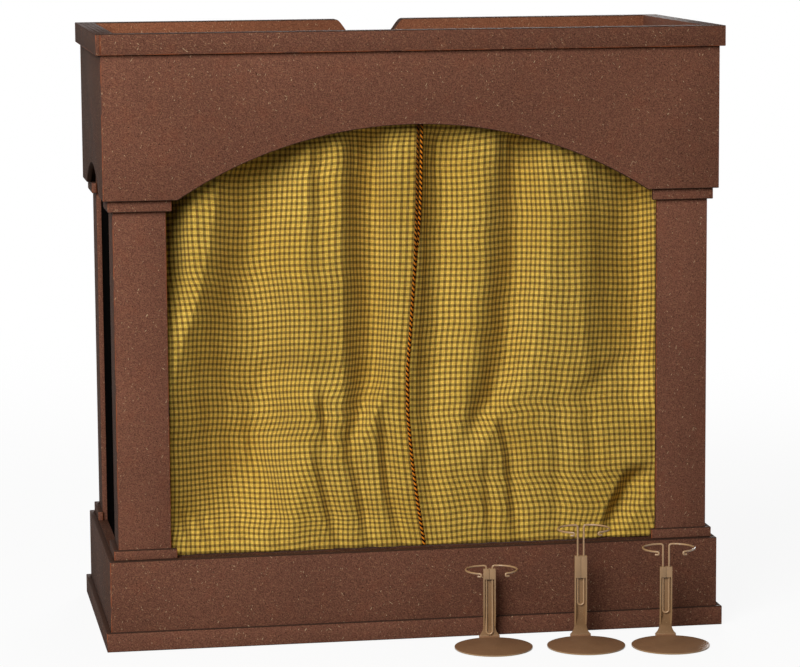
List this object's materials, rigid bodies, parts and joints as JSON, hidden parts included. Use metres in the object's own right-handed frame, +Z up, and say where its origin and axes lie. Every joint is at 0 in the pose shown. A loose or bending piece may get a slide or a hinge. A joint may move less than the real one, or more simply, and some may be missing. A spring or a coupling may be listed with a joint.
{
  "type": "toy theatre",
  "caption": "Toy theatre of layered brown fibreboard with an arched opening, gingham curtains drawn along a rod, an open top and back, and wire doll stands in front.",
  "frame": {"origin": "middle of the underside of the bottom board, on the table", "axes": "X to the right along the front, Y to the back, Z up; the front faces -Y"},
  "size_m": [0.42, 0.2689, 0.4084],
  "materials": {
    "brown_board": "raw brown fibreboard with pale fibre flecks, matt",
    "black_board": "black fibreboard, matt",
    "rod_wood": "plain round rod",
    "gingham_cloth": "woven check, yellow with brown stripes",
    "twisted_cord": "two-strand twist, orange and dark brown",
    "khaki_paint": "glossy khaki enamel"
  },
  "bodies": {
    "theatre": {"bottom_board": "brown_board", "base_front": "brown_board", "base_back": "brown_board", "base_left": "brown_board", "base_right": "brown_board", "skirting_front": "brown_board", "skirting_back": "brown_board", "skirting_left": "brown_board", "skirting_right": "brown_board", "stage_floor": "brown_board", "floor_rib_left": "brown_board", "floor_rib_right": "brown_board", "portal_front": "brown_board", "portal_back": "brown_board", "portal_left": "brown_board", "portal_right": "brown_board", "wing_left": "black_board", "wing_right": "black_board", "block_front_left": "brown_board", "block_front_right": "brown_board", "block_back_left": "brown_board", "block_back_right": "brown_board", "block_left_front": "brown_board", "block_left_back": "brown_board", "block_right_front": "brown_board", "block_right_back": "brown_board", "capital_front_left": "brown_board", "capital_front_right": "brown_board", "capital_back_left": "brown_board", "capital_back_right": "brown_board", "capital_left_front": "brown_board", "capital_left_back": "brown_board", "capital_right_front": "brown_board", "capital_right_back": "brown_board", "lining_front": "brown_board", "lining_back": "brown_board", "lining_left": "brown_board", "lining_right": "brown_board", "frieze_front": "brown_board", "frieze_back": "brown_board", "frieze_left": "brown_board", "frieze_right": "brown_board", "cornice_front": "brown_board", "cornice_back": "brown_board", "cornice_left": "brown_board", "cornice_right": "brown_board", "curtain_rod": "rod_wood", "curtain_left": "gingham_cloth", "curtain_right": "gingham_cloth"},
    "left_curtain_edge": {"edging_cord_left": "twisted_cord"},
    "right_curtain_edge": {"edging_cord_right": "twisted_cord"},
    "left_stand": {"stand_left": "khaki_paint"},
    "left_wire": {"wire_left": "khaki_paint"},
    "middle_stand": {"stand_middle": "khaki_paint"},
    "middle_wire": {"wire_middle": "khaki_paint"},
    "right_stand": {"stand_right": "khaki_paint"},
    "right_wire": {"wire_right": "khaki_paint"}
  },
  "joints": [
    {"name": "left_curtain_draw", "type": "slide", "parent": "theatre", "child": "left_curtain_edge", "axis": [-1, 0, 0], "range_m": [0, 0.118], "deforming": ["curtain_left"]},
    {"name": "right_curtain_draw", "type": "slide", "parent": "theatre", "child": "right_curtain_edge", "axis": [1, 0, 0], "range_m": [0, 0.118], "deforming": ["curtain_right"]},
    {"name": "left_stand_lift", "type": "slide", "parent": "theatre", "child": "left_stand", "axis": [0, 0, 1], "range_m": [0, 0.06]},
    {"name": "left_wire_slide", "type": "slide", "parent": "left_stand", "child": "left_wire", "axis": [0, 0, 1], "range_m": [0, 0.0356]},
    {"name": "middle_stand_lift", "type": "slide", "parent": "theatre", "child": "middle_stand", "axis": [0, 0, 1], "range_m": [0, 0.06]},
    {"name": "middle_wire_slide", "type": "slide", "parent": "middle_stand", "child": "middle_wire", "axis": [0, 0, 1], "range_m": [-0.019, 0.0164]},
    {"name": "right_stand_lift", "type": "slide", "parent": "theatre", "child": "right_stand", "axis": [0, 0, 1], "range_m": [0, 0.06]},
    {"name": "right_wire_slide", "type": "slide", "parent": "right_stand", "child": "right_wire", "axis": [0, 0, 1], "range_m": [-0.0134, 0.0222]}
  ]
}
